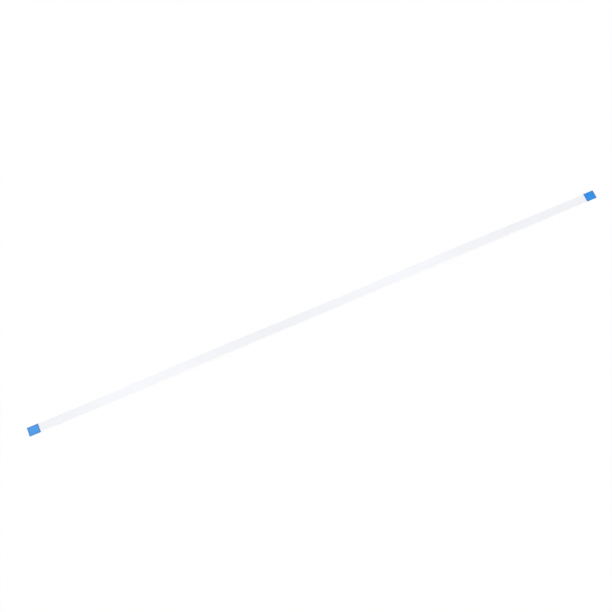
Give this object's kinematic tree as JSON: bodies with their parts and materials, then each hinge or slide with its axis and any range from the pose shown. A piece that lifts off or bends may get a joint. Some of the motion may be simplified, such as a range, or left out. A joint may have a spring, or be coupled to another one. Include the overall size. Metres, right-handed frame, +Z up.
{
  "type": "flat flex cable",
  "caption": "Long flat flexible cable: flat conductors between white films, with bare contacts and a blue stiffener tab at each end.",
  "frame": {"origin": "on the table, under the middle of the cable's length and width", "axes": "+X along the cable, +Y across it, +Z up, from the side with the bare contacts to the side with the blue stiffener tabs"},
  "size_m": [0.45, 0.0066, 0.0021],
  "materials": {
    "cover_film": "white polyester film, satin, with ink marks on the outside",
    "carrier_film": "blank white polyester film, satin",
    "stiffener": "blue polyester sheet, satin",
    "conductor": "tin-plated rolled copper"
  },
  "bodies": {
    "root": {"lower_film": "cover_film", "upper_film": "carrier_film", "left_stiffener": "stiffener", "right_stiffener": "stiffener", "conductor_01": "conductor", "conductor_02": "conductor", "conductor_03": "conductor", "conductor_04": "conductor", "conductor_05": "conductor", "conductor_06": "conductor", "conductor_07": "conductor", "conductor_08": "conductor", "conductor_09": "conductor", "conductor_10": "conductor", "conductor_11": "conductor", "conductor_12": "conductor"}
  },
  "joints": []
}
